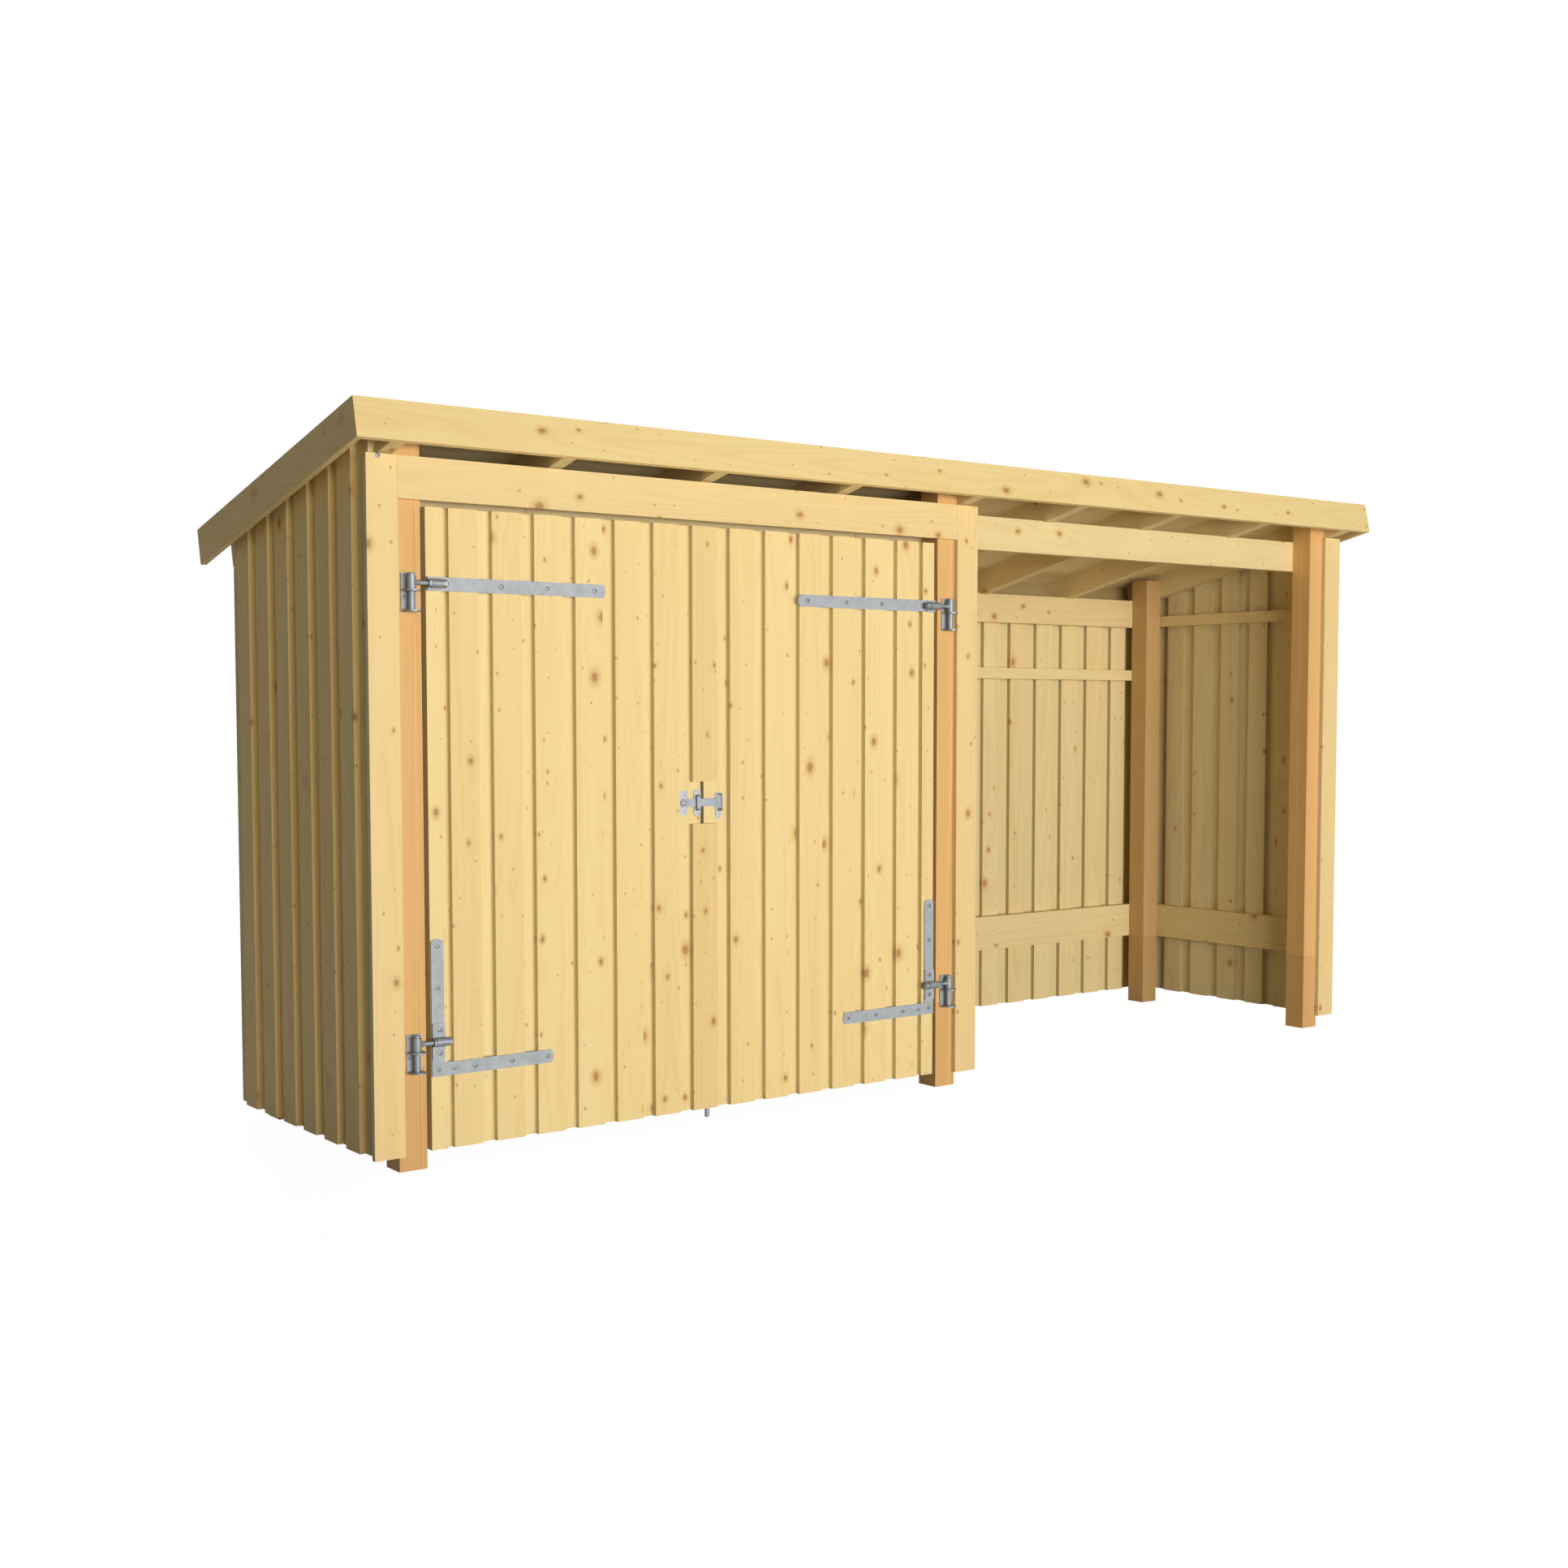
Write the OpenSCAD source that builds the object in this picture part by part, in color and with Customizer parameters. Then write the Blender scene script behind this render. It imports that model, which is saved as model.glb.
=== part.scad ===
// Two-bay garden shed: a closed bay behind a pair of ledged doors beside an open-front bay,
// under one lean-to roof that is high at the front. Every length is in millimetres.
// Inside the modules x is measured from the outer face of the left posts, y from the front
// face of the front posts and z from the ground; in_shed() moves that corner into place.

/* [Posts and bays] */
// Side of a square post
post_w = 90; // [70:1:120]
// Spacing of the posts along the front, centre to centre
bay_pitch = 2115; // [1800:5:2600]
// Spacing of the posts from front to back, centre to centre
side_pitch = 914; // [800:2:1600]
// Gap between the top of a post and the roof deck
post_top_gap = 9; // [2:1:20]

/* [Framing] */
// Thickness of beams, rails and rafters
rail_t = 47; // [35:1:60]
// Depth of the front and rear beams
beam_h = 124; // [90:1:160]
// Height of the wide bottom rail
bottom_rail_h = 147; // [90:1:180]
// Height of the bottom edge of the wide rail above ground
bottom_rail_z = 309; // [150:1:500]
// Height of a batten
batten_h = 47; // [30:1:70]
// Height of the batten in the side walls
side_batten_z = 1760; // [1300:5:1780]
// Height of the batten in the rear wall
rear_batten_z = 1510; // [1000:5:1600]

/* [Cladding] */
// Width of a cladding board
board_w = 98; // [80:1:110]
// Thickness of a cladding board
board_t = 19; // [15:1:25]
// Height of the cladding's lower end above ground
clad_z = 50; // [20:1:120]
// Distance from the corner boards back to the first side board
clad_inset = 11; // [0:1:30]
// Spacing of the boards in the side walls
side_board_pitch = 159.3; // [150:0.1:175]
// Spacing of the boards in the rear wall
rear_board_pitch = 162.2; // [155:0.1:175]
// Gap between the top of a board and the roof
clad_top_gap = 2; // [1:1:10]
// Clearance of the partition boards round the front beam
notch_gap = 1; // [0.5:0.5:5]

/* [Front trim] */
// Width of a corner board
corner_w = 98; // [90:1:130]
// How far a corner board laps past the cladding
corner_lip = 2; // [0:1:6]
// Height of the corner boards' lower end above ground
corner_z = 48; // [20:1:120]
// How far the corner boards and door header reach above the front beam
trim_rise = 16; // [0:1:18]
// Depth of the door header board
header_h = 124; // [90:1:130]
// Joint between the header and the corner boards
trim_joint = 0.5; // [0.3:0.1:2]

/* [Roof] */
// Slope of the roof in degrees
roof_pitch = 12.7; // [8:0.1:14]
// Height of the front beam's top edge
beam_top = 2087; // [2085:1:2110]
// Depth of a rafter
rafter_h = 100; // [80:1:125]
// Clearance between a rafter and the boards on each side of it
rafter_gap = 0.2; // [0.1:0.1:2]
// Depth of a rafter's notch at the front edge of each beam
rafter_bite = 4; // [1:0.5:15]
// Rafter intervals in each bay
rafter_spans = 4; // [3:1:5]
// Thickness of the deck boards
deck_t = 20; // [15:1:25]
// Rows of deck boards
deck_rows = 13; // [11:1:15]
// Open joint between two rows of deck boards
deck_joint = 1; // [0.5:0.5:3]
// Thickness of the fascia and barge boards
fascia_t = 19; // [15:1:25]
// Distance from the rear cladding back to the roof's top rear edge
rear_overhang = 57; // [50:1:300]
// Distance from the post fronts forward to the roof's top front edge
front_overhang = 92; // [60:1:150]
// Distance from the side posts out to the barge boards' outer faces
side_overhang = 157.5; // [130:0.5:220]

/* [Doors] */
// Gap between a door leaf and its post
hang_gap = 16; // [10:1:25]
// Gap between the two leaves
seam_gap = 13; // [10:1:16]
// Height of the leaves' lower end above ground
door_z = 51; // [30:1:100]
// Gap between the leaves and the door header
head_gap = 16; // [14:1:60]
// Width of the narrow outer board at the hanging edge
edge_board_w = 54; // [40:1:60]
// Distance from the hanging edge to the first full outer board
first_board = 75.5; // [70:0.5:80]
// Usual spacing of the outer boards, which are spread evenly
leaf_pitch = 144.5; // [130:0.5:150]
// Gap between the last full outer board and the cover board
cover_gap = 51.5; // [40:0.5:60]
// Width of the inner board beside the seam
meeting_board_w = 122; // [120:1:130]
// Clearance behind the cover board on the passive leaf
lap_gap = 0.5; // [0.3:0.1:1.5]
// Width of the ledges and braces
ledge_w = 98; // [70:1:110]
// Thickness of the ledges and braces
ledge_t = 19; // [15:1:22]
// Distance that ledges stop short of the edges of a leaf
ledge_inset = 12; // [8:1:30]

/* [Hinges] */
// Distance from the top of the leaves down to the upper hinge's stud
upper_hinge_drop = 225; // [160:1:360]
// Height of the lower hinge's stud
lower_hinge_z = 380; // [370:1:450]
// Distance from the post's outer face to the pin
pin_x = 49; // [45:1:55]
// Diameter of the pin
pin_d = 12; // [10:0.5:14]
// Diameter of the sleeve on the pin between the two ears
sleeve_d = 20; // [16:1:24]
// Diameter of the pin's head above the eye
pin_head_d = 20; // [16:1:24]
// Radial clearance of the eye on the pin
pin_gap = 0.08; // [0.05:0.01:0.1]
// Outer diameter of the eye
eye_d = 27; // [22:1:28]
// Height of the eye
eye_h = 40; // [30:1:50]
// Gap between the eye and the ear below it
ear_gap = 0.3; // [0.2:0.1:1]
// Diameter of the threaded stud
stud_d = 13; // [10:0.5:18]
// Width of the inner nut across its flats
nut_af = 24; // [20:1:27]
// Thickness of the inner nut
nut_t = 8; // [6:1:14]
// How far the inner nut's corners are turned off
nut_crown = 2; // [1:0.5:3]
// Width of the outer nut across its flats
cap_nut_af = 22; // [20:1:26]
// Thickness of the outer nut
cap_nut_t = 15; // [8:1:20]
// How far the outer nut's end is rounded off
cap_crown = 4; // [2:0.5:5]
// Outer diameter of the tube that holds the stud
tube_d = 27; // [22:1:28]
// Length of the tube
tube_l = 36; // [30:1:50]
// Length of stud that shows past the outer nut
stud_tail = 3; // [1:0.5:20]
// Thickness of the straps and saddles
strap_t = 5; // [3:0.5:6]
// Distance from the leaf's edge to the end of its straps
strap_inset = 1; // [0:1:10]
// Width of the straps
strap_w = 41; // [35:1:45]
// Length of the upper strap
upper_strap_l = 614; // [500:1:700]
// Length of the level leg of the lower strap
lower_strap_l = 415; // [300:1:500]
// Height of the upright leg of the lower strap
lower_strap_h = 414; // [300:1:500]
// Distance from the stud of the lower hinge down to the lower strap's bottom edge
lower_strap_drop = 107; // [100:1:110]
// Length of the saddle on the lower strap
saddle_l = 108; // [80:1:120]
// Thickness of the saddle under the tube
saddle_t = 5; // [4:0.5:8]
// Distance from a strap's end to the tube
tube_inset = 3; // [1:1:8]
// How far the upper saddle reaches past the tube
saddle_over = 3; // [2:1:10]
// Width of the post bracket
bracket_w = 48; // [40:1:52]
// Thickness of the post bracket and its ears
bracket_t = 5; // [3:0.5:6]
// Half width of an ear
ear_r = 22; // [17:1:22]
// How far the middle of an ear's rounding lies in front of the pin
ear_lead = 9; // [0:1:12]
// Length of the neck between the eye and the stud
neck_l = 14; // [8:1:18]
// How much the neck widens on each side toward the eye
neck_flare = 3; // [1:0.5:4]
// Thickness of the washer between the tube and the outer nut
washer_t = 3; // [1:0.5:4]
// Distance between the two ears
ear_pitch = 60; // [40:1:70]
// How far the bracket and pin reach above the eye
bracket_rise = 9; // [5:1:20]

/* [Latch] */
// Height of the latch
latch_z = 1065; // [1000:1:1150]
// Height of the gap cut in the cover board
notch_h = 138; // [125:1:160]
// Distance from the seam to the latch pivot
latch_reach = 74; // [70:0.5:78]
// Length of the bar past the seam
latch_throw = 55; // [50:1:60]
// Width of the bar
bar_w = 26; // [20:1:30]
// Thickness of the bar
bar_t = 4; // [3:0.5:5]
// Thickness of the latch plates
plate_t = 3; // [2:0.5:3]
// Clearance between the bar and the plates behind it and the rivet head in front
bar_gap = 0.3; // [0.2:0.1:1]
// Diameter of the latch pivot
rivet_d = 8; // [6:0.5:10]
// Thickness of the latch pivot's head
rivet_head_t = 3; // [1:0.5:5]
// Diameter of the latch pivot's head
rivet_head_d = 17; // [12:1:18]
// Height of the pivot plate
pivot_plate_h = 80; // [70:1:90]
// Width of the pivot plate
pivot_plate_w = 31; // [28:1:32]
// Half height of the opening between the feet of the bridge
guide_half = 24; // [22:0.5:26]
// Width of the guide
guide_w = 28; // [20:1:28]
// Distance from the latch pivot to the guide's near side
guide_x = 39; // [37:0.5:39.5]
// Height of the guide from end to end
guide_h = 90; // [84:1:100]
// Width of the bridge that holds the bar in the guide
bridge_w = 14; // [10:1:20]
// How far the bridge leans in on each side
bridge_lean = 7; // [0:1:8]
// Space between the bar and the bridge
bridge_gap = 3; // [1:0.5:5]
// Space between the bar's tip and the loop of the catch
hook_gap = 7; // [6:0.5:8]
// How far the loop stands out from the catch plate
loop_out = 22; // [16:1:40]
// Height of the loop
loop_h = 58; // [50:1:70]
// Thickness of the loop's wall
loop_wall = 4.5; // [3:0.5:6]
// Width of the catch plate
catch_w = 29; // [24:1:32]
// Height of the catch plate
catch_h = 68; // [60:1:80]
// Width of the catch's tab
tab_w = 22; // [16:1:24]
// Distance from the bar's middle down to the screw hole of the catch's tab
catch_drop = 46; // [42:1:52]
// Diameter of the screw holes in the latch pieces
hole_d = 7.5; // [4:0.5:8]
// Distance from the pivot plate's ends to the middle of its screw holes
plate_hole_edge = 13; // [8:0.5:16]
// Distance from the round ends of a plate to the middle of its screw holes
end_hole_edge = 10; // [8:0.5:14]
// How much of a plate's corner is cut off
corner_cut = 8; // [4:1:10]

/* [Drop bolt] */
// Diameter of the bolt
bolt_d = 16; // [10:1:18]
// Length of the bolt
bolt_l = 420; // [380:5:600]
// Height of the bolt's tip above ground
bolt_z = 6; // [2:1:10]
// Distance from the seam to the bolt
bolt_x = 51; // [40:1:60]
// Length of the bolt's bent handle
bolt_handle = 60; // [40:1:80]
// Height of a bolt guide
guide_ring_h = 16; // [10:1:20]
// Distance between the two bolt guides
guide_ring_pitch = 64; // [50:1:76]
// Wall of a bolt guide
guide_wall = 4; // [3:0.5:5]

/* [Hidden] */
$fn = 48;
// How far a cutting solid passes the faces that it opens
cut = 1;
outer_w = 2 * bay_pitch + post_w;
rear_face = side_pitch + post_w;
slope = tan(roof_pitch);
rise_factor = 1 / cos(roof_pitch);
fascia_h = deck_t + rafter_h;
clad_t = 2 * board_t;
clad_out = rail_t + clad_t;
middle_x = bay_pitch + post_w;

// Height of the rafters' underside and of the deck's underside at a distance y from the front
function under(y) = beam_top - rafter_bite + (post_w - y) * slope;
function deck_under(y) = under(y) + rafter_h * rise_factor;

roof_top = under(-front_overhang) + fascia_h * rise_factor;
roof_left = -side_overhang;
roof_right = outer_w + side_overhang;
front_reach = -front_overhang - fascia_h * sin(roof_pitch);
rear_reach = rear_face + rail_t + clad_t + rear_overhang;
roof_len = (front_overhang + rear_reach) / cos(roof_pitch);
shed_y = -(front_reach + rear_reach) / 2;
rear_beam_top = under(rear_face) + rafter_bite;
rear_clad_y = rear_face + rail_t;
rear_clad_top = under(rear_clad_y + clad_t) - clad_top_gap;
trim_top = beam_top + trim_rise;
header_z = trim_top - header_h;
door_top = header_z - head_gap;
upper_hinge_z = door_top - upper_hinge_drop;

opening_l = post_w;
opening_r = bay_pitch;
seam_x = (opening_l + opening_r) / 2;
leaf_l = opening_l + hang_gap;
leaf_r = seam_x - seam_gap / 2;
leaf_run = seam_x - 1.5 * board_w - cover_gap - leaf_l - first_board;
leaf_spaces = max(1, round(leaf_run / leaf_pitch));
leaf_step = leaf_run / leaf_spaces;
axis_y = -(strap_t + saddle_t + tube_d / 2);
strap_l = leaf_l + strap_inset;
strap_z = lower_hinge_z - lower_strap_drop;
ear_top = -eye_h / 2 - ear_gap;
bracket_low = ear_top - bracket_t - ear_pitch;
bracket_high = eye_h / 2 + bracket_rise;
head_h = bracket_high + ear_top;
head_chamfer = head_h / 4;
latch_x = seam_x - latch_reach;
bar_back = board_t - plate_t - bar_gap;
bar_tip = seam_x + latch_throw;
hook_x = bar_tip + hook_gap;
ledge_back = clad_t + ledge_t;
bolt_at = seam_x + bolt_x;
bolt_y = ledge_back + guide_wall + bolt_d / 2;
low_ledge_z = strap_z + strap_w / 2;

// Moves the left front corner of the posts to its place round the origin
module in_shed() translate([-outer_w / 2, shed_y, 0]) children();

// Works in the plane of the roof: y runs down the slope and z stands square to it
module on_slope() in_shed() translate([0, -front_overhang, roof_top]) rotate([-roof_pitch, 0, 0]) children();

// The same piece on the right-hand leaf
module mirrored() translate([2 * seam_x, 0, 0]) mirror([1, 0, 0]) children();

// A plain board or beam between two corners
module timber(low, high) translate(low) cube(high - low);

// Posts

module post(x, y, top) {
    color("peru") in_shed() timber([x, y, 0], [x + post_w, y + post_w, top]);
}

module front_post(x) post(x, 0, deck_under(post_w) - post_top_gap);

module rear_post(x) post(x, side_pitch, deck_under(rear_face) - post_top_gap);

module front_left_post() front_post(0);

module front_middle_post() front_post(bay_pitch);

module front_right_post() front_post(2 * bay_pitch);

module rear_left_post() rear_post(0);

module rear_middle_post() rear_post(bay_pitch);

module rear_right_post() rear_post(2 * bay_pitch);

// Beams and rails

module long_beam(y, top, h) {
    color("burlywood") in_shed() timber([-rail_t, y, top - h], [outer_w + rail_t, y + rail_t, top]);
}

module front_beam() long_beam(post_w, beam_top, beam_h);

module rear_beam() long_beam(rear_face, rear_beam_top, beam_h);

module side_rails(x) {
    color("burlywood") in_shed() {
        timber([x, 0, bottom_rail_z], [x + rail_t, rear_face, bottom_rail_z + bottom_rail_h]);
        timber([x, 0, side_batten_z], [x + rail_t, rear_face, side_batten_z + batten_h]);
    }
}

module left_wall_rails() side_rails(-rail_t);

module partition_rails() side_rails(middle_x);

module right_wall_rails() side_rails(outer_w);

module rear_wall_rails() {
    long_beam(rear_face, bottom_rail_z + bottom_rail_h, bottom_rail_h);
    long_beam(rear_face, rear_batten_z + batten_h, batten_h);
}

// Cladding

// One side board from y0 to y1 whose top follows the deck
module side_board(x, y0, y1) {
    translate([x, 0, 0]) rotate([90, 0, 90]) linear_extrude(board_t) polygon([
        [y0, clad_z], [y1, clad_z],
        [y1, deck_under(y1) - clad_top_gap], [y0, deck_under(y0) - clad_top_gap]
    ]);
}

// A layer of side boards from a first position back to the far end of the wall
module side_layer(x, first, far) {
    for (y = [first : side_board_pitch : far - board_w / 4]) side_board(x, y, min(y + board_w, far));
}

module side_inner(x, far) color("wheat") in_shed() side_layer(x, clad_inset, far);

module side_outer(x, far) {
    color("wheat") in_shed() side_layer(x, clad_inset + side_board_pitch / 2, far);
}

module left_wall_inner_boards() side_inner(-rail_t - board_t, rear_clad_y + board_t);

module left_wall_outer_boards() side_outer(-clad_out, rear_clad_y);

module right_wall_inner_boards() side_inner(outer_w + rail_t, rear_clad_y + board_t);

module right_wall_outer_boards() side_outer(outer_w + rail_t + board_t, rear_clad_y);

// The partition boards are notched round the front beam
module beam_notch() {
    in_shed() timber(
        [middle_x, post_w - notch_gap, beam_top - beam_h - notch_gap],
        [middle_x + clad_out + cut, post_w + rail_t + notch_gap, beam_top + notch_gap]
    );
}

module partition_inner_boards() {
    color("wheat") difference() {
        side_inner(middle_x + rail_t, rear_face);
        beam_notch();
    }
}

module partition_outer_boards() {
    color("wheat") difference() {
        side_outer(middle_x + rail_t + board_t, rear_face);
        beam_notch();
    }
}

// The rear boards are spaced from the middle of the wall, and the end ones are cut to its length
module rear_layer(start, y) {
    reach = floor((outer_w / 2 + rail_t - board_w / 4) / rear_board_pitch);
    color("wheat") in_shed() for (i = [-reach - 1 : reach]) {
        x0 = max(-rail_t, outer_w / 2 + (i + start) * rear_board_pitch - board_w / 2);
        x1 = min(outer_w + rail_t, outer_w / 2 + (i + start) * rear_board_pitch + board_w / 2);
        if (x1 - x0 > board_w / 2) timber([x0, y, clad_z], [x1, y + board_t, rear_clad_top]);
    }
}

module rear_wall_inner_boards() rear_layer(0.5, rear_clad_y);

module rear_wall_outer_boards() rear_layer(0, rear_clad_y + board_t);

// Front trim

module corner_board(x) color("wheat") in_shed() timber([x, -board_t, corner_z], [x + corner_w, 0, trim_top]);

left_corner_x = -clad_out - corner_lip;
middle_corner_x = middle_x + clad_out + corner_lip - corner_w;
right_corner_x = outer_w + clad_out + corner_lip - corner_w;

module left_corner_board() corner_board(left_corner_x);

module middle_corner_board() corner_board(middle_corner_x);

module right_corner_board() corner_board(right_corner_x);

module door_header() {
    color("wheat") in_shed() timber(
        [left_corner_x + corner_w + trim_joint, -board_t, header_z],
        [middle_corner_x - trim_joint, 0, trim_top]
    );
}

// Roof

// A rafter is notched to sit level on both beams
module rafter(x) {
    difference() {
        on_slope() timber(
            [x + rafter_gap, fascia_t, -fascia_h],
            [x + rail_t - rafter_gap, roof_len - fascia_t, -deck_t]
        );
        in_shed() timber([x - cut, post_w, 0], [x + rail_t + cut, post_w + rail_t, beam_top]);
        in_shed() timber([x - cut, rear_face, 0], [x + rail_t + cut, rear_face + rail_t, rear_beam_top]);
    }
}

left_span = (middle_x + rail_t) / rafter_spans;
right_span = (outer_w - middle_x) / rafter_spans;

module left_bay_rafters() color("burlywood") for (i = [0 : rafter_spans - 1]) rafter(-rail_t + i * left_span);

module right_bay_rafters() color("burlywood") for (i = [0 : rafter_spans]) rafter(middle_x + i * right_span);

deck_pitch = (roof_len - fascia_t) / deck_rows;

module roof_deck() {
    color("tan") on_slope() for (i = [0 : deck_rows - 1]) {
        y = fascia_t + i * deck_pitch;
        timber([roof_left + fascia_t, y, -deck_t], [roof_right - fascia_t, y + deck_pitch - deck_joint, 0]);
    }
}

// A fascia board cut to an outline in the plane of the roof
module fascia(outline) {
    color("wheat") on_slope() translate([0, 0, -fascia_h]) linear_extrude(fascia_h) polygon(outline);
}

module front_fascia() {
    fascia([
        [roof_left, 0], [roof_right, 0],
        [roof_right - fascia_t, fascia_t], [roof_left + fascia_t, fascia_t]
    ]);
}

module left_barge_board() {
    fascia([
        [roof_left, 0], [roof_left + fascia_t, fascia_t],
        [roof_left + fascia_t, roof_len], [roof_left, roof_len]
    ]);
}

module right_barge_board() {
    fascia([
        [roof_right, 0], [roof_right, roof_len],
        [roof_right - fascia_t, roof_len], [roof_right - fascia_t, fascia_t]
    ]);
}

module rear_fascia() {
    color("wheat") on_slope() timber(
        [-rail_t, roof_len - fascia_t, -fascia_h],
        [outer_w + rail_t, roof_len, -deck_t]
    );
}

// Door leaves, drawn for the left-hand leaf

module leaf_board(x0, x1, y, t) timber([x0, y, door_z], [x1, y + t, door_top]);

module leaf_outer() {
    leaf_board(leaf_l, leaf_l + edge_board_w, 0, board_t);
    for (i = [0 : leaf_spaces]) {
        x = leaf_l + first_board + i * leaf_step;
        leaf_board(x, x + board_w, 0, board_t);
    }
}

// The inner boards sit behind the gaps of the outer ones
module leaf_inner(set_back) {
    leaf_board(leaf_l, leaf_l + board_w, board_t, board_t);
    for (i = [0 : leaf_spaces - 1]) {
        x = leaf_l + first_board + (i + 0.5) * leaf_step;
        leaf_board(x, x + board_w, board_t, board_t);
    }
    leaf_board(leaf_r - meeting_board_w, leaf_r, board_t + set_back, board_t - set_back);
}

// One slanting brace between two ledges
module brace(low_z, high_z) {
    run = leaf_r - leaf_l - 2 * ledge_inset;
    rise = high_z - low_z - ledge_w;
    across = ledge_w / sin(atan2(rise, run));
    translate([0, clad_t + ledge_t, 0]) rotate([90, 0, 0]) linear_extrude(ledge_t) polygon([
        [leaf_l + ledge_inset, low_z + ledge_w / 2],
        [leaf_l + ledge_inset + across, low_z + ledge_w / 2],
        [leaf_r - ledge_inset, high_z - ledge_w / 2],
        [leaf_r - ledge_inset - across, high_z - ledge_w / 2]
    ]);
}

module leaf_ledges() {
    for (z = [low_ledge_z, latch_z, upper_hinge_z]) {
        timber(
            [leaf_l + ledge_inset, clad_t, z - ledge_w / 2],
            [leaf_r - ledge_inset, clad_t + ledge_t, z + ledge_w / 2]
        );
    }
    brace(low_ledge_z, latch_z);
    brace(latch_z, upper_hinge_z);
}

module left_leaf_outer_boards() color("wheat") in_shed() leaf_outer();

module left_leaf_inner_boards() color("wheat") in_shed() leaf_inner(0);

module left_leaf_ledges() color("burlywood") in_shed() leaf_ledges();

module right_leaf_outer_boards() color("wheat") in_shed() mirrored() leaf_outer();

module right_leaf_inner_boards() color("wheat") in_shed() mirrored() leaf_inner(lap_gap);

module right_leaf_ledges() color("burlywood") in_shed() mirrored() leaf_ledges();

// The cover board hides the seam and is cut away round the latch
module cover_board() {
    x = seam_x - board_w / 2;
    color("wheat") in_shed() {
        timber([x, 0, door_z], [x + board_w, board_t, latch_z - notch_h / 2]);
        timber([x, 0, latch_z + notch_h / 2], [x + board_w, board_t, door_top]);
    }
}

// Hinges, drawn for the left-hand leaf with the stud at height z

module ear(z) {
    translate([pin_x, axis_y - ear_lead, z]) linear_extrude(bracket_t) union() {
        circle(r = ear_r);
        translate([-ear_r, 0]) square([2 * ear_r, ear_lead - axis_y]);
    }
}

module bracket(z) {
    timber(
        [pin_x - bracket_w / 2, -bracket_t, z + bracket_low],
        [pin_x + bracket_w / 2, 0, z + bracket_high]
    );
    ear(z + ear_top - bracket_t);
    ear(z + bracket_low);
    translate([pin_x, axis_y, z]) {
        translate([0, 0, bracket_low]) cylinder(d = pin_d, h = bracket_high - bracket_low);
        translate([0, 0, bracket_low]) cylinder(d = sleeve_d, h = ear_pitch + cut);
        translate([0, 0, -ear_top]) rotate_extrude() polygon([
            [0, 0], [pin_head_d / 2, 0], [pin_head_d / 2, head_h - head_chamfer],
            [pin_head_d / 2 - head_chamfer, head_h], [0, head_h]
        ]);
    }
}

// A round bar along x at the height of the stud
module along_x(x, len, z, d) translate([x, axis_y, z]) rotate([0, 90, 0]) cylinder(d = d, h = len);

// A hexagon nut whose corners are turned off at both ends, by crown at its outer end
module nut(x, z, t, af, crown) {
    across = af / cos(30);
    chamfer = (across - af) / 2;
    translate([x, axis_y, z]) rotate([0, 90, 0]) intersection() {
        cylinder(d = across, h = t, $fn = 6);
        rotate_extrude() polygon([
            [0, 0], [af / 2, 0], [across / 2, chamfer],
            [across / 2, t - crown], [across / 2 - crown, t], [0, t]
        ]);
    }
}

tube_x = strap_l + tube_inset;
outer_nut_x = tube_x + tube_l + washer_t;

// The eye turns on the pin; its stud is held in the tube between two nuts
module eye_bolt(z) {
    difference() {
        union() {
            translate([pin_x, axis_y, z - eye_h / 2]) cylinder(d = eye_d, h = eye_h);
            translate([pin_x + eye_d / 2 - neck_flare, axis_y, z]) rotate([0, 90, 0])
                cylinder(d1 = stud_d + 2 * neck_flare, d2 = stud_d, h = neck_l);
            along_x(pin_x, outer_nut_x + cap_nut_t + stud_tail - pin_x, z, stud_d);
        }
        translate([pin_x, axis_y, z - eye_h]) cylinder(d = pin_d + 2 * pin_gap, h = 2 * eye_h);
    }
    nut(tube_x - nut_t, z, nut_t, nut_af, nut_crown);
    along_x(tube_x, tube_l, z, tube_d);
    along_x(tube_x + tube_l, washer_t, z, cap_nut_af);
    nut(outer_nut_x, z, cap_nut_t, cap_nut_af, cap_crown);
}

// A flat strap end with its two corners taken off
module strap_end(len) {
    back = strap_w / 6;
    in = strap_w / 3;
    polygon([
        [0, 0], [len - back, 0], [len, in], [len, strap_w - in], [len - back, strap_w], [0, strap_w]
    ]);
}

module strap_plate() rotate([90, 0, 0]) linear_extrude(strap_t) children();

module saddle(z, l, h) {
    timber([strap_l, -strap_t - saddle_t, z - h / 2], [strap_l + l, -strap_t, z + h / 2]);
    timber([tube_x, axis_y, z - stud_d / 2], [tube_x + tube_l, -strap_t, z + stud_d / 2]);
}

module upper_hinge() {
    z = upper_hinge_z;
    strap_plate() translate([strap_l, z - strap_w / 2]) strap_end(upper_strap_l);
    saddle(z, tube_l + saddle_over, strap_w);
    eye_bolt(z);
}

module lower_hinge() {
    strap_plate() union() {
        translate([strap_l, strap_z]) strap_end(lower_strap_l);
        translate([strap_l + strap_w, strap_z]) rotate(90) strap_end(lower_strap_h);
    }
    saddle(lower_hinge_z, strap_w, saddle_l);
    eye_bolt(lower_hinge_z);
}

module upper_left_bracket() color("silver") in_shed() bracket(upper_hinge_z);

module lower_left_bracket() color("silver") in_shed() bracket(lower_hinge_z);

module upper_right_bracket() color("silver") in_shed() mirrored() bracket(upper_hinge_z);

module lower_right_bracket() color("silver") in_shed() mirrored() bracket(lower_hinge_z);

module upper_left_hinge() color("silver") in_shed() upper_hinge();

module lower_left_hinge() color("silver") in_shed() lower_hinge();

module upper_right_hinge() color("silver") in_shed() mirrored() upper_hinge();

module lower_right_hinge() color("silver") in_shed() mirrored() lower_hinge();

// Latch

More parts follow.
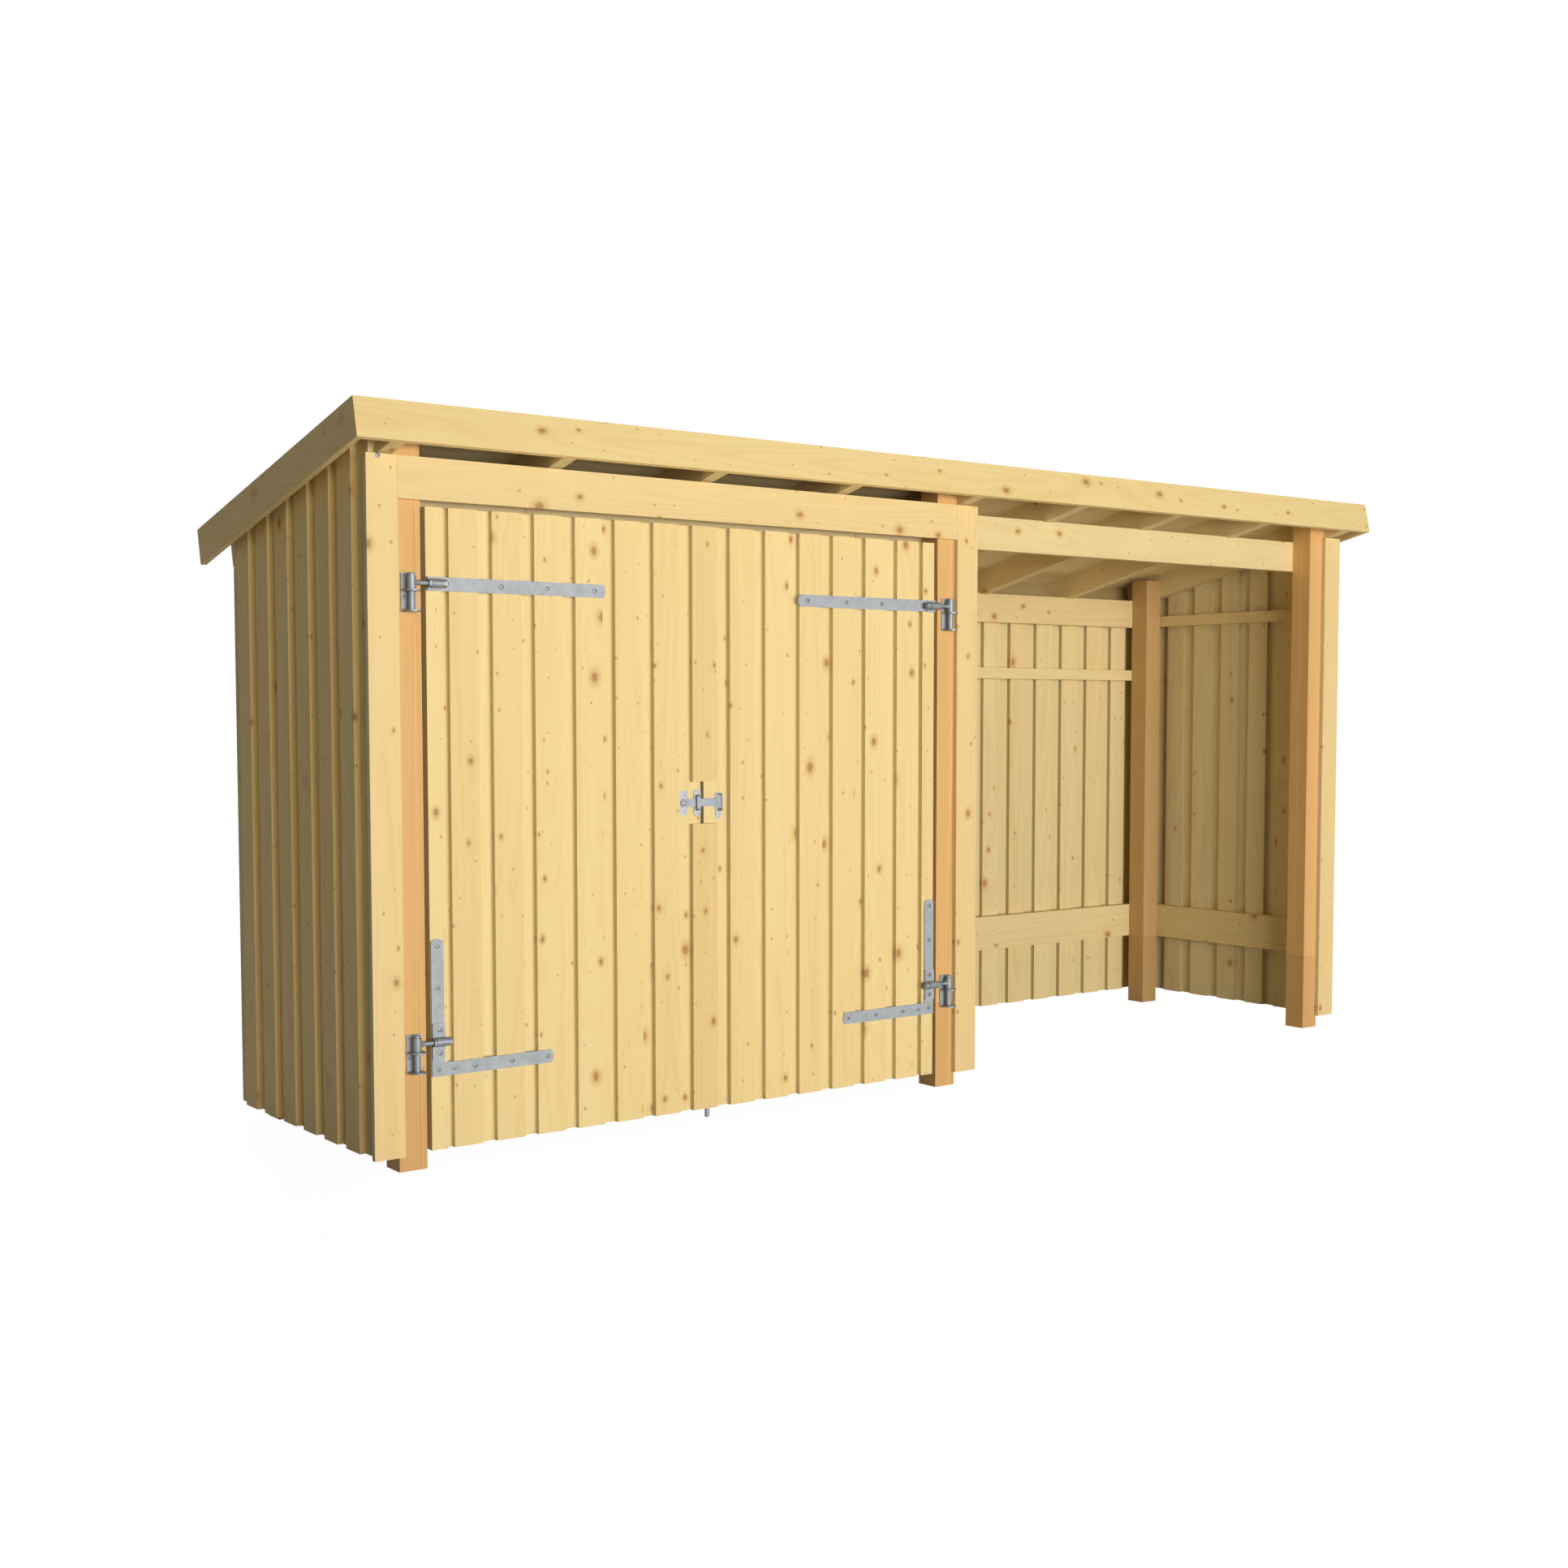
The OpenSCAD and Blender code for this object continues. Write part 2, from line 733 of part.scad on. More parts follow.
// A disc or pin that faces the front, from y0 back to y1
module facing_front(x, y0, y1, z, d) {
    translate([x, y1, z]) rotate([90, 0, 0]) cylinder(d = d, h = y1 - y0);
}

// An upright plate with two rounded ends, from its bottom to its top
module rounded_plate(x, w, low, high, back, t) {
    translate([x, back, 0]) rotate([90, 0, 0]) linear_extrude(t) union() {
        translate([0, low + w / 2]) circle(d = w);
        translate([0, high - w / 2]) circle(d = w);
        translate([-w / 2, low + w / 2]) square([w, high - low - w]);
    }
}

// The plate behind the pivot, with its four corners cut off and two screw holes
module pivot_plate() {
    w = pivot_plate_w / 2;
    h = pivot_plate_h / 2;
    difference() {
        translate([latch_x, board_t, latch_z]) rotate([90, 0, 0]) linear_extrude(plate_t) polygon([
            [-w + corner_cut, -h], [w - corner_cut, -h], [w, -h + corner_cut / 2], [w, h - corner_cut / 2],
            [w - corner_cut, h], [-w + corner_cut, h], [-w, h - corner_cut / 2], [-w, -h + corner_cut / 2]
        ]);
        for (s = [-1, 1]) {
            facing_front(latch_x, 0, board_t + cut, latch_z + s * (h - plate_hole_edge), hole_d);
        }
    }
}

// The guide: a plate with round ends and a bridge in front of the bar
module bar_guide() {
    x = latch_x + guide_x + guide_w / 2;
    front = board_t - plate_t;
    inside = bar_back - bar_t - bridge_gap;
    far = guide_half - bridge_lean;
    difference() {
        rounded_plate(x, guide_w, latch_z - guide_h / 2, latch_z + guide_h / 2, board_t, plate_t);
        for (s = [-1, 1]) {
            facing_front(x, 0, board_t + cut, latch_z + s * (guide_h / 2 - end_hole_edge), hole_d);
        }
    }
    translate([x - bridge_w / 2, 0, latch_z]) rotate([90, 0, 90]) linear_extrude(bridge_w) polygon([
        [front, -guide_half - plate_t], [front, -guide_half], [inside, -far], [inside, far],
        [front, guide_half], [front, guide_half + plate_t],
        [inside - plate_t, far + plate_t], [inside - plate_t, -far - plate_t]
    ]);
}

// A rivet head with a sloping rim
module rivet_head() {
    rim = rivet_head_t / 3;
    cylinder(d = rivet_head_d, h = rim);
    translate([0, 0, rim]) cylinder(d1 = rivet_head_d, d2 = rivet_head_d / 2, h = rivet_head_t - rim);
}

module latch_plates() {
    head_y = bar_back - bar_t - bar_gap;
    color("silver") in_shed() {
        pivot_plate();
        facing_front(latch_x, head_y, board_t, latch_z, rivet_d);
        translate([latch_x, head_y, latch_z]) rotate([90, 0, 0]) rivet_head();
        bar_guide();
    }
}

module latch_bar() {
    color("silver") in_shed() difference() {
        union() {
            timber(
                [latch_x, bar_back - bar_t, latch_z - bar_w / 2],
                [bar_tip, bar_back, latch_z + bar_w / 2]
            );
            facing_front(latch_x, bar_back - bar_t, bar_back, latch_z, bar_w);
        }
        facing_front(latch_x, bar_back - bar_t - cut, bar_back + cut, latch_z, rivet_d + 2 * pin_gap);
    }
}

// The catch on the passive leaf: a plate and a tab with screw holes, and a loop in line with the bar
module latch_catch() {
    face = board_t + lap_gap;
    front = face - plate_t;
    x = hook_x + loop_wall / 2;
    high = latch_z + catch_h / 2;
    color("silver") in_shed() {
        difference() {
            union() {
                rounded_plate(x, catch_w, latch_z - catch_h / 2, high, face, plate_t);
                rounded_plate(x, tab_w, latch_z - catch_drop - tab_w / 2, latch_z, face, plate_t);
            }
            facing_front(x, 0, face + cut, high - end_hole_edge, hole_d);
            facing_front(x, 0, face + cut, latch_z - catch_drop, hole_d);
        }
        translate([hook_x, front, latch_z]) rotate([90, 0, 90]) linear_extrude(loop_wall) difference() {
            loop_shape(loop_h, loop_out);
            loop_shape(loop_h - 2 * loop_wall, loop_out - loop_wall);
        }
        translate([hook_x, front - loop_out / 2, latch_z - loop_h / 2 + loop_wall])
            rotate([0, 90, 0]) cylinder(r = loop_wall, h = 2 * loop_wall);
    }
}

// A flat D that stands out from the catch plate, with two rounded corners at its front
module loop_shape(h, out) {
    r = out / 3;
    translate([r - out, -h / 2]) square([out - r + cut, h]);
    translate([-out, r - h / 2]) square([r + cut, h - 2 * r]);
    for (s = [-1, 1]) translate([r - out, s * (h / 2 - r)]) circle(r = r);
}

// Drop bolt on the back of the passive leaf

module bolt_guides() {
    color("silver") in_shed() {
        for (s = [-1, 1]) {
            z = low_ledge_z + s * guide_ring_pitch / 2 - guide_ring_h / 2;
            difference() {
                union() {
                    translate([bolt_at, bolt_y, z]) cylinder(d = bolt_d + 2 * guide_wall, h = guide_ring_h);
                    timber(
                        [bolt_at - bolt_d / 2 - guide_wall, ledge_back, z],
                        [bolt_at + bolt_d / 2 + guide_wall, bolt_y, z + guide_ring_h]
                    );
                }
                translate([bolt_at, bolt_y, z - cut])
                    cylinder(d = bolt_d + 2 * pin_gap, h = guide_ring_h + 2 * cut);
            }
        }
    }
}

module drop_bolt() {
    color("silver") in_shed() {
        translate([bolt_at, bolt_y, bolt_z]) cylinder(d = bolt_d, h = bolt_l);
        translate([bolt_at, bolt_y, bolt_z + bolt_l - bolt_d / 2]) rotate([0, 90, 0])
            cylinder(d = bolt_d, h = bolt_handle);
    }
}

front_left_post();
front_middle_post();
front_right_post();
rear_left_post();
rear_middle_post();
rear_right_post();
front_beam();
rear_beam();
left_wall_rails();
partition_rails();
right_wall_rails();
rear_wall_rails();
left_wall_inner_boards();
left_wall_outer_boards();
partition_inner_boards();
partition_outer_boards();
right_wall_inner_boards();
right_wall_outer_boards();
rear_wall_inner_boards();
rear_wall_outer_boards();
left_corner_board();
middle_corner_board();
right_corner_board();
door_header();
left_bay_rafters();
right_bay_rafters();
roof_deck();
front_fascia();
rear_fascia();
left_barge_board();
right_barge_board();
upper_left_bracket();
lower_left_bracket();
upper_right_bracket();
lower_right_bracket();
left_leaf_inner_boards();
left_leaf_outer_boards();
left_leaf_ledges();
cover_board();
upper_left_hinge();
lower_left_hinge();
latch_plates();
right_leaf_inner_boards();
right_leaf_outer_boards();
right_leaf_ledges();
upper_right_hinge();
lower_right_hinge();
latch_catch();
bolt_guides();
latch_bar();
drop_bolt();
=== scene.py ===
"""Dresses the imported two-bay garden shed and sets up its floor, light and camera."""

import logging
import math
from dataclasses import dataclass
from enum import Enum
from typing import Any, Callable, Iterable

import bmesh
import bpy
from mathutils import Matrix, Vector


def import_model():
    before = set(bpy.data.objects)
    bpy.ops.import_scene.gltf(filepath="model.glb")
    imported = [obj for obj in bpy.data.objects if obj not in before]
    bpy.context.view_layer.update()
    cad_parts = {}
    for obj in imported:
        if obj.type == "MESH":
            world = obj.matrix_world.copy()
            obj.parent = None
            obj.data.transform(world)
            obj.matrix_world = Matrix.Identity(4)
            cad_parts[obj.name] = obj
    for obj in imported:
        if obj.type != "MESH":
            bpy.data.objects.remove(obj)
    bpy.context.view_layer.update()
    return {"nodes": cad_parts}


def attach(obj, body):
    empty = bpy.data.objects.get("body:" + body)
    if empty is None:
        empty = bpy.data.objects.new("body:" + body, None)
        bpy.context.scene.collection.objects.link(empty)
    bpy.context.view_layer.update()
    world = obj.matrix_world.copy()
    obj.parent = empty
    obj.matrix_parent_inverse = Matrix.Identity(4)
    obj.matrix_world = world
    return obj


LOG = logging.getLogger("shed")
Triple = tuple[float, float, float]
Pair = tuple[float, float]

# Half the width over the posts and the place of their front faces, in metres
HALF_WIDTH = 2.16
DEPTH_SHIFT = -0.5138093

# A length past every piece and half of it below zero, where a box needn't divide the boards
WIDE = 50.0
FAR = -25.0

# Distances in metres at which the boards of a side wall, of the rear wall and of a leaf repeat
SIDE_PITCH = 0.1593
REAR_PITCH = 0.1622
LEAF_PITCH = 0.1445

# Where knots, specks and nail heads can sit, and their smallest and largest radius, in metres
KNOT_SPACING, KNOT_SIZES = 0.15, (0.0036, 0.013)
SPECK_SPACING, SPECK_SIZES = 0.085, (0.002, 0.0048)
NAIL_SPACING, NAIL_SIZES = 0.19, (0.0018, 0.0026)

# Where the mask of each begins and where it is full, in radii
CORE_FADE, HALO_FADE, SWIRL_FADE = (1.15, 0.55), (2.7, 0.8), (8.0, 0.6)
SPECK_FADE, NAIL_FADE = (1.3, 0.7), (1.3, 0.8)

# How strongly each shows, and in which colour
HALO_SHOWS, HALO_BROWN = 0.55, (0.62, 0.36, 0.12)
CORE_SHOWS, CORE_BROWN = 0.75, (0.36, 0.17, 0.055)
SPECK_SHOWS, SPECK_BROWN = 0.7, (0.50, 0.27, 0.10)
NAIL_SHOWS, NAIL_GREY = 0.75, (0.17, 0.20, 0.20)
# A post is darker below its foot's height, and a painted shadow line runs along that height
FOOT_SHOWS, SHADOW_LINE_SHOWS, FOOT_AND_SHADOW_BROWN = 0.16, 0.4, (0.33, 0.16, 0.05)

# Tints from the darkest board to the lightest
BOARD_TINTS = (
    (0.0, (0.955, 0.94, 0.91)),
    (0.5, (0.99, 0.985, 0.975)),
    (1.0, (1.02, 1.03, 1.05)),
)

# Painted light and painted shade: a paler copy of the timber's colours for the sunlit boards, and
# a darker copy for the timber in shade under the roof
PAINTED_LIGHT_TONES: dict[str, Any] = {"pale": (0.875, 0.695, 0.352), "warm": (0.805, 0.598, 0.268)}
PAINTED_SHADE_TONES: dict[str, Any] = {"pale": (0.775, 0.63, 0.348), "warm": (0.71, 0.54, 0.264)}


def at(x: float, y: float, z: float) -> Vector:
    """Turns millimetres from the outer front corner of the left posts into the shared frame.

    Args:
        x: Distance to the right of the left posts' outer face.
        y: Distance behind the posts' front faces.
        z: Height above ground.

    Returns:
        The same point in metres in the shared frame.
    """
    return Vector((x / 1000 - HALF_WIDTH, y / 1000 + DEPTH_SHIFT, z / 1000))


class Run(Enum):
    """The direction in which a piece of timber runs."""

    LENGTHWAYS = 0
    FRONT_TO_BACK = 1
    UPRIGHT = 2


class Signal:
    """One output socket of a shader node that can be used in arithmetic."""

    def __init__(self, desk: "NodeDesk", socket: bpy.types.NodeSocket) -> None:
        """Keeps the desk that owns the node and the socket itself."""
        self.desk = desk
        self.socket = socket

    def out(self, name: str) -> "Signal":
        """Returns another output of the same node."""
        return Signal(self.desk, self.socket.node.outputs[name])

    def maths(self, operation: str, *others: Any) -> "Signal":
        """Puts this signal through a Math node.

        Args:
            operation: The Math node's operation.
            others: The values of its other inputs.

        Returns:
            The result.
        """
        inputs = dict(enumerate((self, *others)))
        return self.desk.add("ShaderNodeMath", {"operation": operation}, inputs)

    def __add__(self, other: Any) -> "Signal":
        """Adds."""
        return self.maths("ADD", other)

    __radd__ = __add__

    def __mul__(self, other: Any) -> "Signal":
        """Multiplies."""
        return self.maths("MULTIPLY", other)

    __rmul__ = __mul__

    def __sub__(self, other: Any) -> "Signal":
        """Subtracts."""
        return self.maths("SUBTRACT", other)

    def __rsub__(self, other: Any) -> "Signal":
        """Is subtracted from a value."""
        return self.maths("MULTIPLY", -1.0) + other

    def __truediv__(self, other: Any) -> "Signal":
        """Divides."""
        return self.maths("DIVIDE", other)

    def __pow__(self, other: Any) -> "Signal":
        """Raises to a power."""
        return self.maths("POWER", other)

    def __gt__(self, other: Any) -> "Signal":
        """Is 1 where the signal is above a value."""
        return self.maths("GREATER_THAN", other)

    def fade(self, start: Any, end: Any, low: Any = 0.0, high: Any = 1.0) -> "Signal":
        """Maps a range smoothly onto another.

        Args:
            start: Where the result is low.
            end: Where the result is high.
            low: The result at and beyond start.
            high: The result at and beyond end.

        Returns:
            The mapped signal.
        """
        return self.desk.add(
            "ShaderNodeMapRange",
            {"interpolation_type": "SMOOTHSTEP"},
            {"Value": self, "From Min": start, "From Max": end, "To Min": low, "To Max": high},
        )


class NodeDesk:
    """Lays out the nodes of one material."""

    def __init__(self, name: str) -> None:
        """Starts an empty material with an output node."""
        self.material = bpy.data.materials.new(name)
        self.material.use_nodes = True
        self.tree = self.material.node_tree
        self.tree.nodes.clear()
        self.output = self.tree.nodes.new("ShaderNodeOutputMaterial")

    def add(
        self, kind: str, settings: dict[str, Any], sockets: dict[Any, Any], output: Any = 0
    ) -> Signal:
        """Adds one node.

        Args:
            kind: The node's type.
            settings: Its settings, which are set first; "stops" holds a ramp's stops.
            sockets: The values or links of its inputs, by name or number.
            output: The output to return.

        Returns:
            That output as a signal.
        """
        node = self.tree.nodes.new(kind)
        for key, value in settings.items():
            if key == "stops":
                ramp = node.color_ramp
                while len(ramp.elements) < len(value):
                    ramp.elements.new(0.5)
                for element, (place, colour) in zip(ramp.elements, value):
                    element.position = place
                    element.color = (*colour, 1.0)
            else:
                setattr(node, key, value)
        for key, value in sockets.items():
            if isinstance(value, Signal):
                self.tree.links.new(value.socket, node.inputs[key])
            else:
                node.inputs[key].default_value = value
        return Signal(self, node.outputs[output])

    def vector(self, operation: str, *values: Any) -> Signal:
        """Puts vectors through a Vector Math node."""
        return self.add("ShaderNodeVectorMath", {"operation": operation}, dict(enumerate(values)))

    def parts(self, vector: Signal) -> list[Signal]:
        """Splits a vector into its three parts."""
        first = self.add("ShaderNodeSeparateXYZ", {}, {0: vector}, "X")
        return [first, first.out("Y"), first.out("Z")]

    def noise(self, place: Signal, scale: float, output: Any = 0, **details: float) -> Signal:
        """Adds a soft noise.

        Args:
            place: Where it is read.
            scale: How fine it is.
            output: The output to return.
            details: Its other inputs by name.

        Returns:
            That output as a signal.
        """
        sockets = {"Vector": place, "Scale": scale, **details}
        return self.add("ShaderNodeTexNoise", {}, sockets, output)

    def blend(self, share: Any, first: Any, second: Any, mode: str = "MIX") -> Signal:
        """Mixes two colours.

        Args:
            share: How much of the second colour shows.
            first: The first colour.
            second: The second colour.
            mode: The blend mode.

        Returns:
            The mixed colour.
        """
        node = self.add("ShaderNodeMix", {"data_type": "RGBA", "blend_type": mode}, {})
        mix = node.socket.node
        for index, value in ((0, share), (6, first), (7, second)):
            if isinstance(value, Signal):
                self.tree.links.new(value.socket, mix.inputs[index])
            elif index == 0:
                mix.inputs[index].default_value = value
            else:
                mix.inputs[index].default_value = (*value, 1.0)
        return Signal(self, mix.outputs[2])

    def place(self) -> Signal:
        """Returns the piece's own coordinates in metres."""
        return self.add("ShaderNodeTexCoord", {}, {}, "Object")

    def finish(
        self, colour: Any, roughness: Any, height: Any, depth: float, **constants: Any
    ) -> bpy.types.Material:
        """Closes the material with a surface shader.

        Args:
            colour: The base colour.
            roughness: The roughness.
            height: The height that drives the bump, in units of depth.
            depth: The bump's depth in metres.
            constants: Other inputs of the surface shader.

        Returns:
            The material.
        """
        relief = {"Strength": 1.0, "Distance": depth, "Height": height}
        bump = self.add("ShaderNodeBump", {}, relief)
        sockets: dict[str, Any] = {"Base Color": colour, "Roughness": roughness, "Normal": bump}
        sockets.update({key.replace("_", " "): value for key, value in constants.items()})
        surface = self.add("ShaderNodeBsdfPrincipled", {}, sockets)
        self.tree.links.new(surface.socket, self.output.inputs["Surface"])
        return self.material


@dataclass(frozen=True)
class Scatter:
    """Spots that lie at random on a board, such as knots or nail heads.

    Attributes:
        spacing: Usual distance between two places that can hold a spot, in metres.
        share: Share of those places that hold one.
        small: Radius of the smallest spot in metres.
        large: Radius of the largest.
    """

    spacing: float
    share: float
    small: float
    large: float

    def near(self, desk: NodeDesk, plane: Signal) -> tuple[Signal, Signal]:
        """Measures how far a point lies from the nearest spot.

        Args:
            desk: The material's desk.
            plane: Two coordinates in metres on the board.

        Returns:
            The distance in radii of that spot, and a mask that is 1 where its place holds one.
        """
        cells = desk.add(
            "ShaderNodeTexVoronoi",
            {"voronoi_dimensions": "2D"},
            {"Vector": plane, "Scale": 1.0 / self.spacing},
            "Distance",
        )
        lots = desk.add("ShaderNodeSeparateColor", {}, {0: cells.out("Color")}, "Red")
        small = self.small / self.spacing
        size = lots.out("Green") ** 2.0 * (self.large / self.spacing - small) + small
        return cells / size, lots > 1.0 - self.share


@dataclass(frozen=True)
class Guide:
    """Where a point lies on its own board.

    Attributes:
        chance: A number from 0 to 1 that belongs to the board.
        moved: The place, thrown far off for each board, so that no two share a pattern.
        along: Distance along the grain in metres.
        girth: Distance round the board's face and edges in metres.
    """

    chance: Signal
    moved: Signal
    along: Signal
    girth: Signal

    def plane(self, desk: NodeDesk, squeeze: float = 1.0) -> Signal:
        """Returns the girth and the squeezed length as a flat place."""
        along = self.along if squeeze == 1.0 else self.along * squeeze
        return desk.add("ShaderNodeCombineXYZ", {}, {"X": self.girth, "Y": along})


@dataclass(frozen=True)
class Timber:
    """A planed softwood finish.

    Attributes:
        name: Name of the material.
        run: Direction of the grain.
        pale: Colour of the early wood.
        warm: Colour of the late wood.
        cell: Size of the box that holds one board, so that each board differs.
        start: A corner of one such box.
        knots: Share of the places that hold a knot.
        rings: How close the growth rings lie.
        contrast: How clearly the rings show.
        nails: Share of the places that hold a small nail head.
        painted_side_light_and_shade: Axis that the faces with painted light and shade turn along,
            if any, and how much they take of it.
        edge: The colour painted on them, darker for painted shade and paler for painted light.
        one_way: Whether only the faces towards the low end of that axis differ.
        patches: How much the colour wanders along a board.
        drawn: How far the grain is drawn out along the board, less being further.
        foot: Height of the darker foot and of the painted shadow line along it, or 0.
    """

    name: str
    run: Run
    pale: Triple = (0.85, 0.655, 0.33)
    warm: Triple = (0.78, 0.56, 0.25)
    cell: Triple = (WIDE, WIDE, WIDE)
    start: Triple = (FAR, FAR, FAR)
    knots: float = 0.6
    rings: float = 110.0
    contrast: float = 0.4
    nails: float = 0.0
    # Painted light and shade on the faces turned along one axis; the grey default colour is a
    # painted shade
    painted_side_light_and_shade: tuple[int, float] | None = None
    edge: Triple = (0.54, 0.53, 0.46)
    one_way: bool = False
    patches: float = 1.25
    drawn: float = 0.055
    foot: float = 0.0

    def stretched(self, across: float, along: float) -> Triple:
        """Returns a scale that differs along the grain."""
        scale = [across, across, across]
        scale[self.run.value] = along
        return tuple(scale)

    def guide(self, desk: NodeDesk, place: Signal) -> Guide:
        """Finds the board that a point lies on, and the point's place on it.

        Args:
            desk: The material's desk.
            place: The point.

        Returns:
            Where the point lies.
        """
        box = desk.vector("DIVIDE", desk.vector("SUBTRACT", place, self.start), self.cell)
        # The name gives each finish its own lots, so that two layers of boards share no knots
        lot = float(sum(map(ord, self.name)))
        dice = desk.add(
            "ShaderNodeTexWhiteNoise",
            {"noise_dimensions": "4D"},
            {"Vector": desk.vector("FLOOR", box), "W": lot},
            "Color",
        )
        throw, wrap = (17.0, 23.0, 29.0), 0.9
        moved = desk.vector("MULTIPLY_ADD", dice, throw, place)
        axes = desk.parts(moved)
        along = axes.pop(self.run.value)
        across, through = axes
        return Guide(dice.out("Value"), moved, along, across + through * wrap)

    def marks(self, desk: NodeDesk, guide: Guide) -> tuple[Signal, Signal, Signal, Signal]:
        """Draws the knots and specks, which lie on the faces and wrap round the edges.

        Args:
            desk: The material's desk.
            guide: Where the point lies on its board.

        Returns:
            Masks of the knots' cores, their halos, the grain's swirl round them, and the specks.
        """
        length, unevenness, reach = 0.72, 60.0, (0.007, 0.005, 0.0)
        ragged = desk.noise(guide.moved, unevenness, "Color", Detail=1.0)
        plane = desk.vector("MULTIPLY_ADD", ragged, reach, guide.plane(desk, length))
        near, present = Scatter(KNOT_SPACING, self.knots, *KNOT_SIZES).near(desk, plane)
        core, halo, swirl = (
            near.fade(*fade) * present for fade in (CORE_FADE, HALO_FADE, SWIRL_FADE)
        )
        speck, some = Scatter(SPECK_SPACING, self.knots, *SPECK_SIZES).near(desk, plane)
        return core, halo, swirl, speck.fade(*SPECK_FADE) * some

    def grain(
        self, desk: NodeDesk, guide: Guide, swirl: Signal
    ) -> tuple[Signal, Signal, Signal]:
        """Draws the growth rings, contour lines of a slow noise drawn out along the grain.

        Args:
            desk: The material's desk.
            guide: Where the point lies on its board.
            swirl: Mask of the grain that swirls round a knot.

        Returns:
            The late wood, the fibre, and how much of the late wood's colour shows.
        """
        drawn = desk.vector("MULTIPLY", guide.moved, self.stretched(1.0, self.drawn))
        slow = desk.noise(drawn, 6.5, Detail=0.8, Roughness=0.45)
        bend, sharpness = 2.6, 2.2
        rings = (slow * self.rings + swirl * bend).maths("SINE") * 0.5 + 0.5
        late = rings ** sharpness
        threads = desk.vector("MULTIPLY", guide.moved, self.stretched(520.0, 9.0))
        fibre = desk.noise(threads, 1.0, Detail=2.0)
        cloud = desk.noise(drawn, 14.0, Detail=2.0)
        fibre_shows = 0.3
        share = (
            late * self.contrast + (fibre - 0.5) * fibre_shows + (cloud - 0.5) * self.patches
        )
        return late, fibre, share.maths("MAXIMUM", 0.0)

    def edges(self, desk: NodeDesk, colour: Signal) -> Signal:
        """Returns the colour with painted light and shade on the faces turned along one axis, if
        any.
        """
        if not self.painted_side_light_and_shade:
            return colour
        axis, amount = self.painted_side_light_and_shade
        side = desk.parts(desk.add("ShaderNodeTexCoord", {}, {}, "Normal"))[axis]
        side = side * -1.0 if self.one_way else side.maths("ABSOLUTE")
        # Painted light and shade: the faces turned along the axis take the given colour
        return desk.blend((side > 0.7) * amount, colour, self.edge)

    def foot_and_shadow_line(self, desk: NodeDesk, place: Signal, colour: Signal) -> Signal:
        """Returns the colour darker below the foot's height, with a painted shadow line along
        that height.
        """
        level = desk.parts(place)[2]
        # Painted shadow: a thin dark line at the foot's height
        shadow_line = (level - self.foot).maths("ABSOLUTE").fade(0.0022, 0.0008)
        lower_part = level.fade(self.foot, self.foot - 0.001)
        return desk.blend(lower_part * FOOT_SHOWS + shadow_line * SHADOW_LINE_SHOWS, colour, FOOT_AND_SHADOW_BROWN)

    def build(self) -> bpy.types.Material:
        """Makes the material."""
        desk = NodeDesk(self.name)
        place = desk.place()
        guide = self.guide(desk, place)
        core, halo, swirl, speck = self.marks(desk, guide)
        late, fibre, share = self.grain(desk, guide, swirl)

        colour = desk.blend(share, self.pale, self.warm)
        tint = desk.add("ShaderNodeValToRGB", {"stops": BOARD_TINTS}, {0: guide.chance})
        colour = desk.blend(1.0, colour, tint, "MULTIPLY")
        colour = desk.blend(halo * HALO_SHOWS, colour, HALO_BROWN)
        colour = desk.blend(core * CORE_SHOWS, colour, CORE_BROWN)
        colour = desk.blend(speck * SPECK_SHOWS, colour, SPECK_BROWN)
        colour = self.edges(desk, colour)
        roughness = 0.62 - late * 0.08 - core * 0.12
        height = late * 0.35 + fibre * 0.35 - core * 0.5
        if self.nails:
            spots = Scatter(NAIL_SPACING, self.nails, *NAIL_SIZES)
            gap, held = spots.near(desk, guide.plane(desk))
            head = gap.fade(*NAIL_FADE) * held
            colour = desk.blend(head * NAIL_SHOWS, colour, NAIL_GREY)
            roughness = roughness - head * 0.2
            height = height - head * 1.5
        if self.foot:
            colour = self.foot_and_shadow_line(desk, place, colour)
        return desk.finish(colour, roughness, height, 0.0006, Specular_IOR_Level=0.28)


@dataclass(frozen=True)
class Zinc:
    """A galvanised steel finish with a faint mottle.

    Attributes:
        name: Name of the material.
        pale: Colour of the bright flakes.
        dark: Colour of the dull flakes.
        metal: How metallic it is.
        proud: Place of the face in front of which the turned pieces take a painted dark
            reflection, a darker colour.
        painted_dark_reflection: The darker colour painted on them.
    """

    name: str
    pale: Triple = (0.405, 0.445, 0.50)
    dark: Triple = (0.305, 0.342, 0.39)
    metal: float = 0.15
    proud: float = -0.5
    painted_dark_reflection: Triple = (0.195, 0.215, 0.24)

    def build(self) -> bpy.types.Material:
        """Makes the material."""
        desk = NodeDesk(self.name)
        place = desk.place()
        cells = {"Vector": place, "Scale": 130.0}
        flakes = desk.add("ShaderNodeTexVoronoi", {}, cells, "Color")
        lot = desk.add("ShaderNodeSeparateColor", {}, {0: flakes}, "Red")
        haze = desk.noise(place, 38.0, Detail=4.0, Roughness=0.6)
        share = lot * 0.25 + haze.fade(0.3, 0.72) * 0.6
        colour = desk.blend(share, self.pale, self.dark)
        # Painted reflection: pieces standing in front of that face are painted darker, standing
        # in for the dark surroundings that they reflect
        turned = desk.parts(place)[1].fade(self.proud, self.proud - 0.002)
        colour = desk.blend(turned * 0.8, colour, self.painted_dark_reflection)
        roughness = share * 0.1 + 0.56 - turned * 0.14
        metallic = turned * 0.4 + self.metal
        height = haze * 0.5 + lot * 0.3
        return desk.finish(colour, roughness, height, 0.0003, Metallic=metallic)


